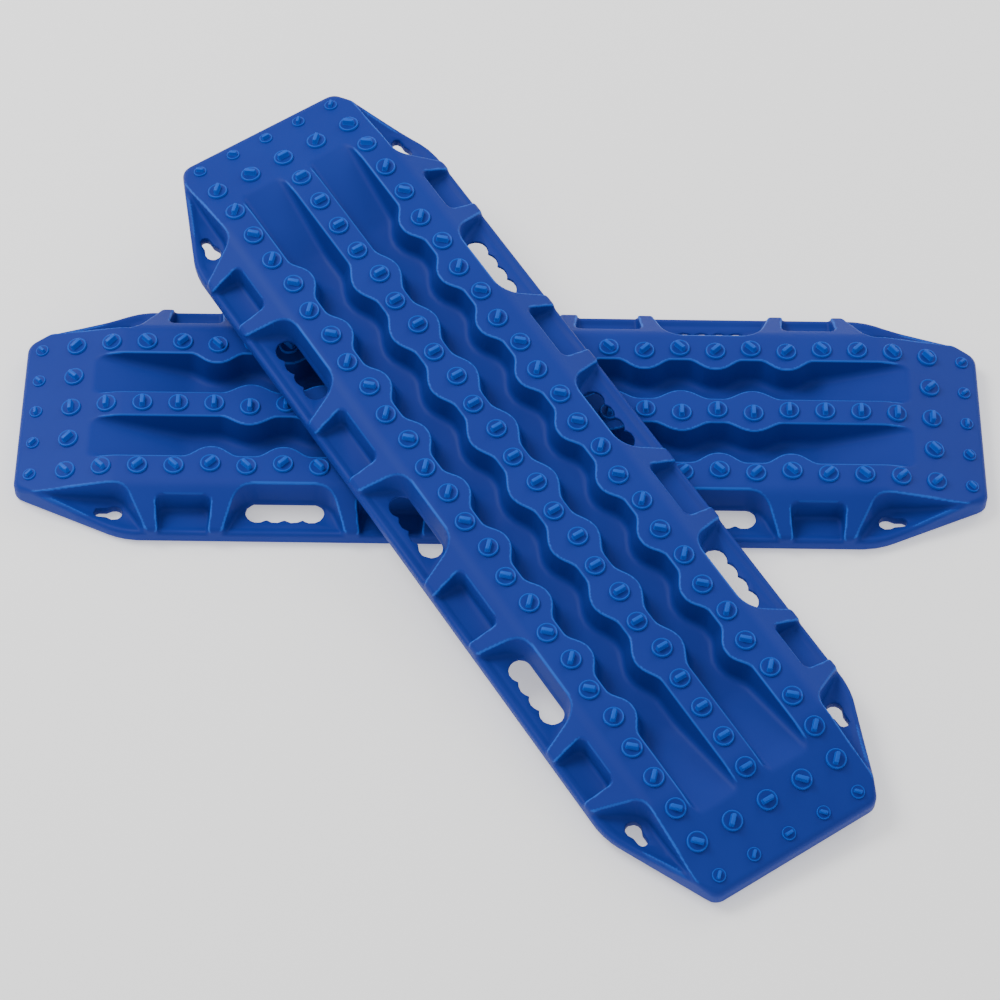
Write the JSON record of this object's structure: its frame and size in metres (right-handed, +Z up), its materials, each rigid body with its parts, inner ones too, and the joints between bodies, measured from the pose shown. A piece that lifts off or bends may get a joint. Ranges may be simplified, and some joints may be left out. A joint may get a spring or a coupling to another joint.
{
  "type": "tire traction mats",
  "caption": "Pair of moulded plastic traction mats with studded tops, grip channels and side hand slots, one lying flat and one leaning across it.",
  "frame": {"origin": "middle of the lower mat, on the plane it rests on", "axes": "+X along the lower mat, +Y across it to the side the upper mat rises towards, +Z up from the ground"},
  "size_m": [1.06, 0.9861, 0.1511],
  "materials": {
    "moulded_deck": "satin moulded plastic with a fine grain",
    "studs": "smooth semi-gloss moulded plastic"
  },
  "bodies": {
    "lower_mat": {"lower_mat_shell": "moulded_deck", "lower_left_front_studs": "studs", "lower_left_rear_studs": "studs", "lower_centre_front_studs": "studs", "lower_centre_rear_studs": "studs", "lower_right_front_studs": "studs", "lower_right_rear_studs": "studs", "lower_front_end_studs": "studs", "lower_rear_end_studs": "studs", "lower_front_small_studs": "studs", "lower_rear_small_studs": "studs"},
    "upper_mat": {"upper_mat_shell": "moulded_deck", "upper_left_front_studs": "studs", "upper_left_rear_studs": "studs", "upper_centre_front_studs": "studs", "upper_centre_rear_studs": "studs", "upper_right_front_studs": "studs", "upper_right_rear_studs": "studs", "upper_front_end_studs": "studs", "upper_rear_end_studs": "studs", "upper_front_small_studs": "studs", "upper_rear_small_studs": "studs"}
  },
  "joints": [
    {"name": "lift_off", "type": "slide", "parent": "lower_mat", "child": "upper_mat", "axis": [0, 0, 1], "range_m": [0, 0.12]}
  ]
}
